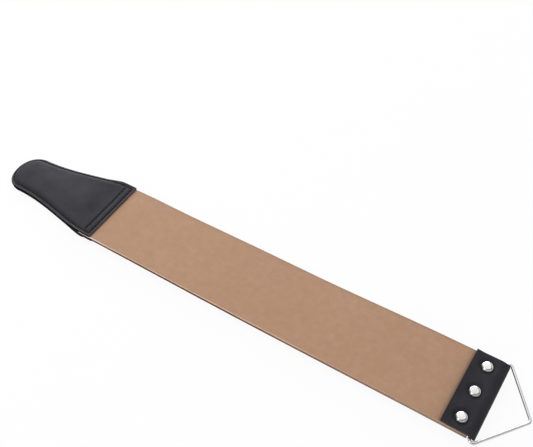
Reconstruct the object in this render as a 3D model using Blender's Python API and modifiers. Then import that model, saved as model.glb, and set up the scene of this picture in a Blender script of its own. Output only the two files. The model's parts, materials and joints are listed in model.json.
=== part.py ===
"""Leather strop: a two-layer strap with a padded, stitched handle at one end and a wire hanging ring
in a riveted leather fold at the other.

Units are metres and +Z is up. The strop lies on the plane z = 0 with its length along X, the ring at
the +X end, and the origin under the middle of its length.
"""

import math

import bmesh
import bpy
from mathutils import Matrix, Vector

# Strap: a smooth leather face over a thinner backing, both held in the handle and the end band
STRAP_WIDTH = 0.0580
STRAP_SHOWING = 0.2955        # from the handle's mouth to the end band
FACE_THICKNESS = 0.0022
BACKING_THICKNESS = 0.0016
STRAP_SAG = 0.0014            # dip at mid length, under the strap's own weight
STRAP_PAST_SEAM = 0.0031      # strap left beyond the handle's inner seam
STRAP_PAST_RIVETS = 0.0073    # strap left beyond the rivets
STRAP_EDGE_ROUND = 0.0003

# Handle: two covers sewn together along a rim, with a core between them
HANDLE_LENGTH = 0.1122
HANDLE_TIP_RADIUS = 0.0184
HANDLE_TIP_POWER = 2.12       # 2 makes the tip a half circle, more makes it squarer
HANDLE_OVERHANG = 0.0004      # covers beyond the strap's side at the mouth
FLARE_POWER = 1.37            # how late the handle widens towards its mouth
COVER_THICKNESS = 0.0013
COVER_EDGE_ROUND = 0.0003
RIM_LIFT = 0.0008             # rim's outer edge above the table, at the tip
RIM_CLIMB = 0.0032            # rim's rise from the tip to the strap's end
RIM_RISE = 0.0022             # of the top cover, from the rim's outer edge up to the seam
PAD_SHOULDER_WIDTH = 0.0022
PAD_SHOULDER_RISE = 0.0012
PAD_CROWN = 0.0008            # from the shoulder up to the middle of the pad
UNDERSIDE_SLOPE_WIDTH = 0.0060  # from the seam in to the flat underside
PAD_RUN_OUT = 0.0140          # over which the covers come together past the strap's end

# Seams: threads lying in pressed channels
EDGE_SEAM_INSET = 0.0029
MOUTH_SEAM_INSET = 0.0034     # from the mouth to the edge seam's row across it
CROSS_SEAM_SPACING = 0.0056   # from that row to the second row
THREAD_DIAMETER = 0.0007
CHANNEL_DEPTH = 0.0005

# End band: one strip folded round the ring's bar and riveted through the strap
BAND_THICKNESS = 0.0020
BAND_SIDE_INSET = 0.0002      # band's side inside the strap's side
BAND_TAIL_INSET = 0.0025      # lower flap's side inside the upper flap's side
BAND_EDGE_LIFT = 0.0008       # upper flap's free edge, raised by the pull of the rivets
RIVET_SETBACK = 0.0104        # from the band's edge
RIVET_SIDE_MARGIN = 0.0087    # outer rivets from the band's side
STRAP_TO_BAR = 0.0018         # from the strap's end to the axis of the ring's bar

# Rivets: a domed cap over a flanged post
CAP_DIAMETER = 0.0080
CAP_EDGE_HEIGHT = 0.0005
CAP_DOME_HEIGHT = 0.0015
CAP_WALL = 0.0009             # metal above the post's socket
CAP_SINK = 0.0008             # cap pressed into the band
POST_DIAMETER = 0.0030
FLANGE_THICKNESS = 0.0009
FLANGE_CHAMFER = 0.0003

# Hanging ring: a bent wire triangle, its bends measured on its centreline
WIRE_DIAMETER = 0.0022
RING_CORNER_ANGLE = math.radians(38.1)  # between the bar and a leg
RING_BEND_TUCK = 0.00045      # start of the bar's bends inside the band's side
RING_BASE_BEND = 0.0024
RING_APEX_BEND = 0.0025
WIRE_BUTT_GAP = 0.0005        # between the wire's ends, hidden in the fold

# Clearances
LAYER_GAP = 0.0002
THREAD_GAP = 0.0001
HOLE_CLEARANCE = 0.0003
WIRE_CLEARANCE = 0.0003
CUTTER_REACH = 0.0020         # cutters pass this far out of what they cut

# Facets
SAG_STATIONS = 18
RUN_OUT_STATIONS = 5
SIDE_STATIONS = 10
TIP_STEPS = 12
CROWN_ROWS = 3
FOLD_STEPS = 10
BEND_STEPS = 10
TURNED_STEPS = 24
DOME_STEPS = 5
WIRE_RESOLUTION = 4
THREAD_RESOLUTION = 1

SHARP_ANGLE = math.radians(40)
BEVEL_ANGLE = math.radians(60)
WELD_DISTANCE = 0.00001

# Heights above the table
BACKING_BOTTOM = FLANGE_THICKNESS + BAND_THICKNESS + 2 * LAYER_GAP
FACE_BOTTOM = BACKING_BOTTOM + BACKING_THICKNESS + LAYER_GAP
STRAP_TOP = FACE_BOTTOM + FACE_THICKNESS
BAR_HEIGHT = (BACKING_BOTTOM + STRAP_TOP) / 2
BAND_TOP = STRAP_TOP + LAYER_GAP + BAND_THICKNESS
CAP_SEAT = BAND_TOP - CAP_SINK + LAYER_GAP
RIM_TOP = RIM_LIFT + 2 * COVER_THICKNESS + LAYER_GAP
SHOULDER_TOP = RIM_TOP + RIM_RISE + PAD_SHOULDER_RISE
MOUTH_TOP = STRAP_TOP + LAYER_GAP + COVER_THICKNESS
MOUTH_BOTTOM = BACKING_BOTTOM - LAYER_GAP - COVER_THICKNESS

# Handle's plan, measured from its mouth
CHANNEL_HALF_WIDTH = THREAD_DIAMETER
CROSS_SEAM_INSET = MOUTH_SEAM_INSET + CROSS_SEAM_SPACING
TONGUE_LENGTH = CROSS_SEAM_INSET + STRAP_PAST_SEAM
PAD_START = TONGUE_LENGTH + LAYER_GAP
PAD_FULL = PAD_START + PAD_RUN_OUT
TIP_CENTRE = HANDLE_LENGTH - HANDLE_TIP_RADIUS
RIM_INSET = EDGE_SEAM_INSET - CHANNEL_HALF_WIDTH
CHANNEL_INSET = EDGE_SEAM_INSET + CHANNEL_HALF_WIDTH
TOP_SHOULDER_INSET = CHANNEL_INSET + PAD_SHOULDER_WIDTH
FLAT_INSET = CHANNEL_INSET + UNDERSIDE_SLOPE_WIDTH
RIM_ROW = 1                   # places of the rim, the seam and the shoulder among the rows across a rib
SEAM_ROW = 2
SHOULDER_ROW = 4
EDGE_STATION = 2              # places of the two rows across the mouth among the stations
CROSS_STATION = 5
PAD_STATION = 7

# End band and ring, measured from the axis of the ring's bar
WIRE_RADIUS = WIRE_DIAMETER / 2
BAND_HALF_WIDTH = STRAP_WIDTH / 2 - BAND_SIDE_INSET
TAIL_HALF_WIDTH = BAND_HALF_WIDTH - BAND_TAIL_INSET
FOLD_MID_RADIUS = WIRE_RADIUS + WIRE_CLEARANCE + BAND_THICKNESS / 2
BAR_STRAIGHT_END = BAND_HALF_WIDTH - RING_BEND_TUCK
RING_HALF_BASE = BAR_STRAIGHT_END + RING_BASE_BEND / math.tan(RING_CORNER_ANGLE / 2)
RING_HEIGHT = RING_HALF_BASE * math.tan(RING_CORNER_ANGLE)
BAND_EDGE = -(STRAP_TO_BAR + STRAP_PAST_RIVETS + RIVET_SETBACK)
RIVET_HALF_SPAN = BAND_HALF_WIDTH - RIVET_SIDE_MARGIN


def smoothstep(t):
    """Ease from 0 to 1 with level ends."""
    t = min(max(t, 0.0), 1.0)
    return t * t * (3.0 - 2.0 * t)


def mix(a, b, share):
    """Value part of the way from a to b."""
    return a + (b - a) * share


def fillet(before, corner, after, radius, steps):
    """Arc points that round the corner of a path."""
    back = (before - corner).normalized()
    ahead = (after - corner).normalized()
    half = back.angle(ahead) / 2
    centre = corner + (back + ahead).normalized() * radius / math.sin(half)
    spoke = corner + back * radius / math.tan(half) - centre
    turn = math.copysign(math.pi - 2 * half, ahead.cross(back))
    points = []
    for step in range(steps + 1):
        points.append(centre + Matrix.Rotation(turn * step / steps, 2) @ spoke)
    return points


def ring_path():
    """Centreline of the wire in the ring's plane, from one end to the other."""
    left = Vector((0.0, RING_HALF_BASE))
    apex = Vector((RING_HEIGHT, 0.0))
    right = Vector((0.0, -RING_HALF_BASE))
    start = Vector((0.0, WIRE_BUTT_GAP / 2))
    end = Vector((0.0, -WIRE_BUTT_GAP / 2))
    path = [start]
    path += fillet(start, left, apex, RING_BASE_BEND, BEND_STEPS)
    path += fillet(left, apex, right, RING_APEX_BEND, BEND_STEPS)
    path += fillet(apex, right, end, RING_BASE_BEND, BEND_STEPS)
    path.append(end)
    return path


# Places along the strop
RING_REACH = max(point.x for point in ring_path()) + WIRE_RADIUS
STROP_LENGTH = HANDLE_LENGTH + STRAP_SHOWING - BAND_EDGE + RING_REACH
MOUTH_X = HANDLE_LENGTH - STROP_LENGTH / 2
BAR_X = STROP_LENGTH / 2 - RING_REACH
RIVET_X = BAR_X + BAND_EDGE + RIVET_SETBACK


def clear_scene():
    """Remove the objects that a new Blender file starts with."""
    for found in list(bpy.data.objects):
        bpy.data.objects.remove(found, do_unlink=True)


def new_collection(name):
    """Add a collection to the scene."""
    collection = bpy.data.collections.new(name)
    bpy.context.scene.collection.children.link(collection)
    return collection


def linear(red, green, blue):
    """Screen colour, 0 to 255, as the linear colour that a shader takes."""
    channels = []
    for value in (red, green, blue):
        share = value / 255
        channels.append(share / 12.92 if share <= 0.04045 else ((share + 0.055) / 1.055) ** 2.4)
    return (*channels, 1.0)


def material(name, colour, roughness, metallic):
    """Plain Principled material."""
    made = bpy.data.materials.new(name)
    made.use_nodes = True
    shader = made.node_tree.nodes["Principled BSDF"]
    shader.inputs["Base Color"].default_value = colour
    shader.inputs["Roughness"].default_value = roughness
    shader.inputs["Metallic"].default_value = metallic
    return made


def add_part(name, data, finish, place=(0.0, 0.0, 0.0)):
    """Put a mesh or curve into the part's collection under its root."""
    piece = bpy.data.objects.new(name, data)
    PARTS.objects.link(piece)
    piece.parent = ROOT
    piece.location = place
    data.materials.append(finish)
    if isinstance(data, bpy.types.Mesh):
        data.shade_smooth()
        data.set_sharp_from_angle(angle=SHARP_ANGLE)
    return piece


def add_cutter(name, mesh, place=(0.0, 0.0, 0.0)):
    """Put a mesh among the cutters."""
    cutter = bpy.data.objects.new(name, mesh)
    CUTTERS.objects.link(cutter)
    cutter.location = place
    cutter.hide_render = True
    cutter.display_type = "WIRE"
    return cutter


def mesh_from(name, bm):
    """Turn an edit mesh into mesh data."""
    mesh = bpy.data.meshes.new(name)
    bm.to_mesh(mesh)
    bm.free()
    return mesh


def round_edges(piece, width):
    """Take the sharp edges off a piece."""
    bevel = piece.modifiers.new("rounded edges", "BEVEL")
    bevel.width = width
    bevel.segments = 1
    bevel.limit_method = "ANGLE"
    bevel.angle_limit = BEVEL_ANGLE


def cut(piece, cutter):
    """Cut a piece with a cutter."""
    boolean = piece.modifiers.new("cut by " + cutter.name, "BOOLEAN")
    boolean.operation = "DIFFERENCE"
    boolean.object = cutter


def sheet_solid(name, plan, lower, upper):
    """Closed solid between two surfaces over one plan grid, given as lists of columns."""
    columns = len(plan)
    rows = len(plan[0])
    bm = bmesh.new()
    column_of = bm.verts.layers.int.new("column")
    row_of = bm.verts.layers.int.new("row")
    bmesh.ops.create_grid(bm, x_segments=columns - 1, y_segments=rows - 1, size=0.5)
    for vert in bm.verts:
        vert[column_of] = round((vert.co.x + 0.5) * (columns - 1))
        vert[row_of] = round((vert.co.y + 0.5) * (rows - 1))
    for vert in bm.verts:
        column, row = vert[column_of], vert[row_of]
        vert.co = (*plan[column][row], lower[column][row])
    bmesh.ops.remove_doubles(bm, verts=bm.verts[:], dist=WELD_DISTANCE)
    raised = bmesh.ops.extrude_face_region(bm, geom=bm.faces[:])["geom"]
    for vert in raised:
        if isinstance(vert, bmesh.types.BMVert):
            vert.co.z = upper[vert[column_of]][vert[row_of]]
    bmesh.ops.recalc_face_normals(bm, faces=bm.faces[:])
    return mesh_from(name, bm)


def tube(name, points, radius, resolution, closed):
    """Round tube along a path."""
    curve = bpy.data.curves.new(name, "CURVE")
    curve.dimensions = "3D"
    curve.bevel_depth = radius
    curve.bevel_resolution = resolution
    curve.use_fill_caps = not closed
    spline = curve.splines.new("POLY")
    spline.points.add(len(points) - 1)
    for target, point in zip(spline.points, points):
        target.co = (*point, 1.0)
    spline.use_cyclic_u = closed
    return curve


def turned(name, profile):
    """Round piece from a profile of radius and height, listed from its top down its outer side."""
    bm = bmesh.new()
    verts = [bm.verts.new((radius, 0.0, height)) for radius, height in profile]
    for upper, lower in zip(verts, verts[1:]):
        bm.edges.new((upper, lower))
    return mesh_from(name, bm)


def spin(piece):
    """Turn a profile once round its own Z axis."""
    screw = piece.modifiers.new("turned", "SCREW")
    screw.steps = TURNED_STEPS
    screw.render_steps = TURNED_STEPS
    screw.use_merge_vertices = True
    screw.merge_threshold = WELD_DISTANCE


def strap_sag(x):
    """Dip of the strap at a place along it, level where the handle and the band hold it."""
    share = min(max(x / STRAP_SHOWING, 0.0), 1.0)
    return STRAP_SAG * 16 * share ** 2 * (1 - share) ** 2


def strap_layer(name, bottom, thickness, finish, holes):
    """One leather layer of the strap, measured from the handle's mouth."""
    stations = [STRAP_SHOWING * step / SAG_STATIONS for step in range(SAG_STATIONS + 1)]
    stations = [-TONGUE_LENGTH] + stations + [STRAP_SHOWING + RIVET_SETBACK + STRAP_PAST_RIVETS]
    plan = [[(x, -STRAP_WIDTH / 2), (x, STRAP_WIDTH / 2)] for x in stations]
    lower = [[bottom - strap_sag(x)] * 2 for x in stations]
    upper = [[height + thickness for height in column] for column in lower]
    layer = add_part(name, sheet_solid(name, plan, lower, upper), finish, (MOUTH_X, 0.0, 0.0))
    round_edges(layer, STRAP_EDGE_ROUND)
    cut(layer, holes)


def handle_half_width(distance):
    """Half the handle's width at a distance from its mouth, up to the round tip."""
    share = max(distance - PAD_START, 0.0) / (TIP_CENTRE - PAD_START)
    flare = (1 - share ** FLARE_POWER) ** 2
    return mix(HANDLE_TIP_RADIUS, STRAP_WIDTH / 2 + HANDLE_OVERHANG, flare)


def handle_stations():
    """Distances from the mouth at which ribs cross the handle's sides."""
    stations = [0.0]
    for seam in (MOUTH_SEAM_INSET, CROSS_SEAM_INSET):
        stations += [seam - CHANNEL_HALF_WIDTH, seam, seam + CHANNEL_HALF_WIDTH]
    for step in range(RUN_OUT_STATIONS):
        stations.append(mix(PAD_START, PAD_FULL, step / RUN_OUT_STATIONS))
    for step in range(SIDE_STATIONS + 1):
        stations.append(mix(PAD_FULL, TIP_CENTRE, step / SIDE_STATIONS))
    return stations


def handle_ribs():
    """Ribs from the handle's edge to its middle, round the handle from one mouth corner to the other.

    Each is a station number, an edge point and a middle point.
    """
    front = []
    back = []
    stations = handle_stations()
    for number, distance in enumerate(stations):
        half_width = handle_half_width(distance)
        middle = Vector((-distance, 0.0))
        front.append((number, Vector((-distance, -half_width)), middle))
        back.append((number, Vector((-distance, half_width)), middle))
    tip = []
    centre = Vector((-TIP_CENTRE, 0.0))
    for step in range(1, TIP_STEPS):
        angle = math.pi * step / TIP_STEPS
        spoke = Vector((math.sin(angle), math.cos(angle)))
        spread = abs(spoke.x) ** HANDLE_TIP_POWER + abs(spoke.y) ** HANDLE_TIP_POWER
        reach = HANDLE_TIP_RADIUS / spread ** (1 / HANDLE_TIP_POWER)
        tip.append((len(stations), centre - reach * spoke, centre))
    return front + tip + back[::-1]


def rib_insets(edge, middle):
    """Distances in from the edge along one rib: rim, seam channel, shoulders, then rows up the crown."""
    insets = [0.0, RIM_INSET, EDGE_SEAM_INSET, CHANNEL_INSET, *sorted((TOP_SHOULDER_INSET, FLAT_INSET))]
    for row in range(1, CROWN_ROWS + 1):
        insets.append(mix(insets[SHOULDER_ROW + 1], (middle - edge).length, row / CROWN_ROWS))
    return insets


def rib_point(edge, middle, inset):
    """Point at a distance in from the edge along a rib."""
    return edge.lerp(middle, inset / (middle - edge).length)


def across(inset, shoulder_inset, length, rim, seam, shoulder, crown):
    """Height at a distance in from the edge, over the rim, the seam, the shoulder and the crown."""
    if inset < RIM_INSET:
        return mix(rim, seam, inset / RIM_INSET)
    if inset < shoulder_inset:
        share = (inset - CHANNEL_INSET) / (shoulder_inset - CHANNEL_INSET)
        return mix(seam, shoulder, max(share, 0.0))
    share = (inset - shoulder_inset) / (length - shoulder_inset)
    return mix(shoulder, crown, math.sin(math.pi / 2 * share))


def rim_climb(distance):
    """Rise of the rim over its height at the tip, at a distance from the mouth."""
    return RIM_CLIMB * (HANDLE_LENGTH - distance) / (HANDLE_LENGTH - PAD_START)


def from_mouth(distance, mouth, height):
    """Height of a cover past the strap's end, run out from its height over the strap."""
    return mix(mouth, height, smoothstep((distance - PAD_START) / PAD_RUN_OUT))


def top_height(edge, middle, inset):
    """Top cover's outer face: a padded crown, before its channels are pressed in."""
    distance = -rib_point(edge, middle, inset).x
    height = across(inset, TOP_SHOULDER_INSET, (middle - edge).length, RIM_TOP, RIM_TOP + RIM_RISE,
                    SHOULDER_TOP, SHOULDER_TOP + PAD_CROWN)
    return from_mouth(distance, MOUTH_TOP, height + rim_climb(distance))


def bottom_height(edge, middle, inset):
    """Bottom cover's outer face: flat where the handle rests on the table."""
    distance = -rib_point(edge, middle, inset).x
    rim = RIM_LIFT + rim_climb(distance)
    height = across(inset, FLAT_INSET, (middle - edge).length, rim, rim, 0.0, 0.0)
    return from_mouth(distance, MOUTH_BOTTOM, height)


def in_channel(station, row):
    """Whether a point of a cover lies at the bottom of a seam's channel."""
    along_edge = row == SEAM_ROW and station >= EDGE_STATION
    first_row = row >= SEAM_ROW and station == EDGE_STATION
    second_row = row > SEAM_ROW and station == CROSS_STATION
    return along_edge or first_row or second_row


def handle_cover(name, height_at, side, finish):
    """Cover with its outer face upwards (side 1) or downwards (side -1)."""
    plan = []
    outer = []
    inner = []
    for station, edge, middle in handle_ribs():
        insets = rib_insets(edge, middle)
        levels = [height_at(edge, middle, inset) for inset in insets]
        plan.append([rib_point(edge, middle, inset) for inset in insets])
        inner.append([level - side * COVER_THICKNESS for level in levels])
        pressed = [CHANNEL_DEPTH * in_channel(station, row) for row in range(len(levels))]
        outer.append([level - side * depth for level, depth in zip(levels, pressed)])
    lower, upper = (inner, outer) if side > 0 else (outer, inner)
    cover = add_part(name, sheet_solid(name, plan, lower, upper), finish, (MOUTH_X, 0.0, 0.0))
    round_edges(cover, COVER_EDGE_ROUND)


def handle_core(finish):
    """Filler between the covers, butted against the strap's end."""
    skin = COVER_THICKNESS + LAYER_GAP
    plan = []
    lower = []
    upper = []
    for station, edge, middle in handle_ribs():
        if station >= PAD_STATION:
            insets = rib_insets(edge, middle)[RIM_ROW:]
            plan.append([rib_point(edge, middle, inset) for inset in insets])
            lower.append([bottom_height(edge, middle, inset) + skin for inset in insets])
            upper.append([top_height(edge, middle, inset) - skin for inset in insets])
    add_part("handle_core", sheet_solid("handle_core", plan, lower, upper), finish, (MOUTH_X, 0.0, 0.0))


def handle_seams(side_name, height_at, side, finish):
    """Edge thread and cross thread on one side of the handle."""
    thread_radius = THREAD_DIAMETER / 2
    wall_slope = math.hypot(CHANNEL_DEPTH, CHANNEL_HALF_WIDTH) / CHANNEL_HALF_WIDTH
    proud = side * ((thread_radius + THREAD_GAP) * wall_slope - CHANNEL_DEPTH)
    edge_path = []
    cross_path = []
    for station, edge, middle in handle_ribs():
        level = height_at(edge, middle, EDGE_SEAM_INSET) + proud
        if station >= EDGE_STATION:
            edge_path.append((*rib_point(edge, middle, EDGE_SEAM_INSET), level))
        if station == CROSS_STATION:
            cross_path.append((*rib_point(edge, middle, TOP_SHOULDER_INSET), level))
    edge_name = "edge_seam_" + side_name
    cross_name = "cross_seam_" + side_name
    place = (MOUTH_X, 0.0, 0.0)
    add_part(edge_name, tube(edge_name, edge_path, thread_radius, THREAD_RESOLUTION, True), finish, place)
    add_part(cross_name, tube(cross_name, cross_path, thread_radius, THREAD_RESOLUTION, False), finish, place)


def fold_path():
    """Middle of the folded band in the XZ plane, with its half width: top flap, round the bar, bottom flap."""
    flap = STRAP_TOP - BAR_HEIGHT + LAYER_GAP + BAND_THICKNESS / 2
    pressed_x = BAND_EDGE + RIVET_SETBACK - CAP_DIAMETER / 2
    shoulder = Vector((LAYER_GAP - STRAP_TO_BAR, flap))
    spread = math.atan2(shoulder.y, shoulder.x) - math.acos(FOLD_MID_RADIUS / shoulder.length)
    points = [(BAND_EDGE, BAND_HALF_WIDTH, flap + BAND_EDGE_LIFT), (pressed_x, BAND_HALF_WIDTH, flap)]
    points.append((shoulder.x, BAND_HALF_WIDTH, flap))
    for step in range(FOLD_STEPS + 1):
        angle = mix(spread, -spread, step / FOLD_STEPS)
        half_width = mix(BAND_HALF_WIDTH, TAIL_HALF_WIDTH, step / FOLD_STEPS)
        points.append((FOLD_MID_RADIUS * math.cos(angle), half_width, FOLD_MID_RADIUS * math.sin(angle)))
    points += [(shoulder.x, TAIL_HALF_WIDTH, -flap), (BAND_EDGE, TAIL_HALF_WIDTH, -flap)]
    return points


def end_band(finish, holes):
    """Leather strip folded round the ring's bar, with its origin on the bar's axis."""
    bm = bmesh.new()
    verts = [bm.verts.new((x, -half_width, z)) for x, half_width, z in fold_path()]
    edges = [bm.edges.new(pair) for pair in zip(verts, verts[1:])]
    swept = bmesh.ops.extrude_edge_only(bm, edges=edges)["geom"]
    for vert in swept:
        if isinstance(vert, bmesh.types.BMVert):
            vert.co.y = -vert.co.y
    bmesh.ops.recalc_face_normals(bm, faces=bm.faces[:])
    band = add_part("end_band", mesh_from("end_band", bm), finish, (BAR_X, 0.0, BAR_HEIGHT))
    shell = band.modifiers.new("leather thickness", "SOLIDIFY")
    shell.thickness = BAND_THICKNESS
    shell.offset = 0.0
    shell.use_even_offset = True
    cut(band, holes)
    cut(band, recess_cutter())


def rivet_places():
    """Name and side of each rivet along its row across the band."""
    return [("back", RIVET_HALF_SPAN), ("middle", 0.0), ("front", -RIVET_HALF_SPAN)]


def rivet_hole_cutter():
    """Pins that cut the rivets' holes through band and strap."""
    radius = POST_DIAMETER / 2 + HOLE_CLEARANCE
    depth = CAP_SEAT + 2 * CUTTER_REACH
    bm = bmesh.new()
    for _, side in rivet_places():
        place = Matrix.Translation((RIVET_X, side, CAP_SEAT / 2))
        bmesh.ops.create_cone(bm, cap_ends=True, segments=TURNED_STEPS, radius1=radius, radius2=radius,
                              depth=depth, matrix=place)
    return add_cutter("rivet_holes", mesh_from("rivet_holes", bm))


def recess_cutter():
    """Discs that press the caps' seats into the band."""
    radius = CAP_DIAMETER / 2 + LAYER_GAP
    bottom = CAP_SEAT - LAYER_GAP
    bm = bmesh.new()
    for _, side in rivet_places():
        place = Matrix.Translation((RIVET_X, side, bottom + CUTTER_REACH / 2))
        bmesh.ops.create_cone(bm, cap_ends=True, segments=TURNED_STEPS, radius1=radius, radius2=radius,
                              depth=CUTTER_REACH, matrix=place)
    return add_cutter("cap_recesses", mesh_from("cap_recesses", bm))


def cap_profile():
    """Domed cap with a socket for the post, from the middle of its dome to the socket's end."""
    radius = CAP_DIAMETER / 2
    socket_radius = POST_DIAMETER / 2 + LAYER_GAP
    socket_depth = CAP_EDGE_HEIGHT + CAP_DOME_HEIGHT - CAP_WALL
    profile = []
    for step in range(DOME_STEPS + 1):
        angle = math.pi / 2 * step / DOME_STEPS
        profile.append((radius * math.sin(angle), CAP_EDGE_HEIGHT + CAP_DOME_HEIGHT * math.cos(angle)))
    profile += [(radius, 0.0), (socket_radius, 0.0), (socket_radius, socket_depth), (0.0, socket_depth)]
    return profile


def post_profile():
    """Post with a flange, from the post's top to the middle of the flange's underside."""
    radius = POST_DIAMETER / 2
    flange_radius = CAP_DIAMETER / 2
    top = CAP_SEAT + CAP_EDGE_HEIGHT + CAP_DOME_HEIGHT - CAP_WALL - LAYER_GAP
    return [(0.0, top), (radius, top), (radius, FLANGE_THICKNESS), (flange_radius, FLANGE_THICKNESS),
            (flange_radius, FLANGE_CHAMFER), (flange_radius - FLANGE_CHAMFER, 0.0), (0.0, 0.0)]


def rivets(finish):
    """Cap and post of each rivet."""
    for name, side in rivet_places():
        cap_name = "rivet_cap_" + name
        post_name = "rivet_post_" + name
        spin(add_part(cap_name, turned(cap_name, cap_profile()), finish, (RIVET_X, side, CAP_SEAT)))
        spin(add_part(post_name, turned(post_name, post_profile()), finish, (RIVET_X, side, 0.0)))


def hanging_ring(finish):
    """Wire ring, with its origin on the axis of its bar, about which it swings."""
    points = [(point.x, point.y, 0.0) for point in ring_path()]
    curve = tube("hanging_ring", points, WIRE_RADIUS, WIRE_RESOLUTION, False)
    add_part("hanging_ring", curve, finish, (BAR_X, 0.0, BAR_HEIGHT))


clear_scene()
PARTS = new_collection("leather_strop")
CUTTERS = new_collection("cutters")
ROOT = bpy.data.objects.new("strop", None)
PARTS.objects.link(ROOT)

TAN_LEATHER = material("tan leather", linear(178, 142, 114), 0.62, 0.0)
BACKING_LEATHER = material("brown backing leather", linear(128, 92, 74), 0.75, 0.0)
BLACK_LEATHER = material("black leather", linear(64, 65, 70), 0.48, 0.0)
CORE_FELT = material("grey filler", linear(120, 112, 104), 0.90, 0.0)
BLACK_THREAD = material("black thread", linear(36, 36, 42), 0.60, 0.0)
NICKEL = material("nickel plate", linear(214, 214, 210), 0.16, 1.0)
STEEL_WIRE = material("bright steel wire", linear(196, 197, 198), 0.22, 1.0)

RIVET_HOLES = rivet_hole_cutter()
strap_layer("strop_face", FACE_BOTTOM, FACE_THICKNESS, TAN_LEATHER, RIVET_HOLES)
strap_layer("strop_backing", BACKING_BOTTOM, BACKING_THICKNESS, BACKING_LEATHER, RIVET_HOLES)
handle_cover("handle_top_cover", top_height, 1, BLACK_LEATHER)
handle_cover("handle_bottom_cover", bottom_height, -1, BLACK_LEATHER)
handle_core(CORE_FELT)
handle_seams("top", top_height, 1, BLACK_THREAD)
handle_seams("bottom", bottom_height, -1, BLACK_THREAD)
end_band(BLACK_LEATHER, RIVET_HOLES)
rivets(NICKEL)
hanging_ring(STEEL_WIRE)
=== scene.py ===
"""Looks of the leather strop: leather, stitching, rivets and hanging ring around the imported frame.

Lengths are in millimetres until a mesh is made, in the frame's own axes: +X from the handle to the
ring, +Z up from the table.
"""
import json
import math

import bmesh
import bpy
from mathutils import Matrix, Vector, noise


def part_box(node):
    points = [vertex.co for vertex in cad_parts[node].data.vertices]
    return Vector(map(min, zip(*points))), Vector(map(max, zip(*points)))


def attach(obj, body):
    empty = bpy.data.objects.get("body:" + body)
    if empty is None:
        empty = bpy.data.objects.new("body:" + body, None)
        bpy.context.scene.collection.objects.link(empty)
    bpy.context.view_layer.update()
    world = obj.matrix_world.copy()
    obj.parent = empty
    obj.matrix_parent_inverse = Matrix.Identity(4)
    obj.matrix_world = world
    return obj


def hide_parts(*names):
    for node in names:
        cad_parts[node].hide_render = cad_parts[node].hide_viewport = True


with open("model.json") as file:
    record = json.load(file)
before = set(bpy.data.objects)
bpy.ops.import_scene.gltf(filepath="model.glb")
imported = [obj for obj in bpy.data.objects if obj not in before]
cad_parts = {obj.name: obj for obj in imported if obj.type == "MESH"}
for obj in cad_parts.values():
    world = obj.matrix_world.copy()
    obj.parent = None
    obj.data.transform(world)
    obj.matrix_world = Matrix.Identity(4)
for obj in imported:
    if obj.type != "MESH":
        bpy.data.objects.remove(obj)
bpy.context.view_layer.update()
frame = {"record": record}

MM = 0.001
WELD = 0.001

# Places taken from the frame
RING_HINGE = frame["record"]["behaviour"]["joints"][0]["pos_m"]
BAR_X = RING_HINGE[0] / MM
BAR_Z = RING_HINGE[2] / MM
MOUTH_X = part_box("handle_top_cover")[1][0] / MM
STRAP_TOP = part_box("strop_face")[1][2] / MM
CAP_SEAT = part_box("rivet_cap_middle")[0][2] / MM

# Strap
STRAP_HALF = 29.0
STRAP_SHOWING = 295.5
STRAP_SAG = 1.4
FACE_THICKNESS = 2.2
BACKING_THICKNESS = 1.6
BACKING_BOTTOM = 3.3
BURNISHED_EDGE = 1.8
FACE_TOP_ROUND = 0.45
FACE_LOW_ROUND = 0.2
# Heights, from each layer's bottom, up to which its cut side is drawn in the darker edge colour
FACE_DARK_LOW_SIDE = 1.0
BACKING_TOP_ROUND = 0.2
BACKING_LOW_ROUND = 0.35
BACKING_DARK_LOW_SIDE = 0.8
# Painted light on the cut edges near the mouth: a painted highlight on the face layer, painted shade on the
# backing
MOUTH_PAINTED_LIGHT_FROM = 2.0
MOUTH_PAINTED_LIGHT_TO = 16.0
# Painted shading along the cut edges towards the band
PAINTED_SHADING_FROM = 120.0
PAINTED_SHADING_TO = 270.0
TONGUE = 12.1
STRAP_END = STRAP_SHOWING + 17.7

# Handle
HANDLE_LENGTH = 112.2
MOUTH_HALF = 29.4
TIP_RADIUS = 18.4
TIP_POWER = 2.12
TIP_CENTRE = HANDLE_LENGTH - TIP_RADIUS
FLARE_POWER = 1.37
PAD_START = 12.3
PAD_RUN_OUT = 20.0
COVER = 1.3
COVER_ROUND = 0.28
FILLER_GAP = 0.25
FILLER_LEAST = 0.3
RIM_TOP = 3.6
RIM_BOTTOM = 0.8
RIM_CLIMB = 3.2
RIM_RISE = 2.2
RIM_WIDTH = 2.5
SHOULDER_START = 3.2
SHOULDER_WIDTH = 2.6
SHOULDER_RISE = 1.2
CROWN_START = 5.0
CROWN_RISE = 0.8
FLAT_INSET = 9.7
MOUTH_TOP = 8.8
MOUTH_BOTTOM = 1.8
SEAM_INSET = 2.9
MOUTH_ROW = 2.5
SECOND_ROW = 8.0
SECOND_ROW_INSET = 5.0
SEAM_WIDTH = 0.8
SEAM_DEPTH = 0.7
STITCH_PITCH = 3.9
STITCH_GAP = 0.5
STITCH_DIP = 0.12
THREAD_RADIUS = 0.38
NEARBY = 0.05
LOWER_MOUTH_INSET = 0.5
# Outer strip of the handle's rim drawn in the black edge material: dye, and painted shade along the edge
DYED_SHADED_RIM = 0.8

# End band
BAND_THICKNESS = 2.0
BAND_ROUND = 0.3
BAND_GAP = 0.2
BAND_EDGE = -19.5
BAND_HALF = 28.9
BAND_LIFT = 0.8
# Reach of the painted shadow on the strap beside the band's free edge
BAND_EDGE_SHADE_REACH = 2.4
RIVET_X = -9.1
LIFT_X = RIVET_X - 4.5
RIVET_SPAN = 20.1
FOLD_RADIUS = 2.4
SHOULDER_X = -1.6
TAIL_HALF = 26.0

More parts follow.
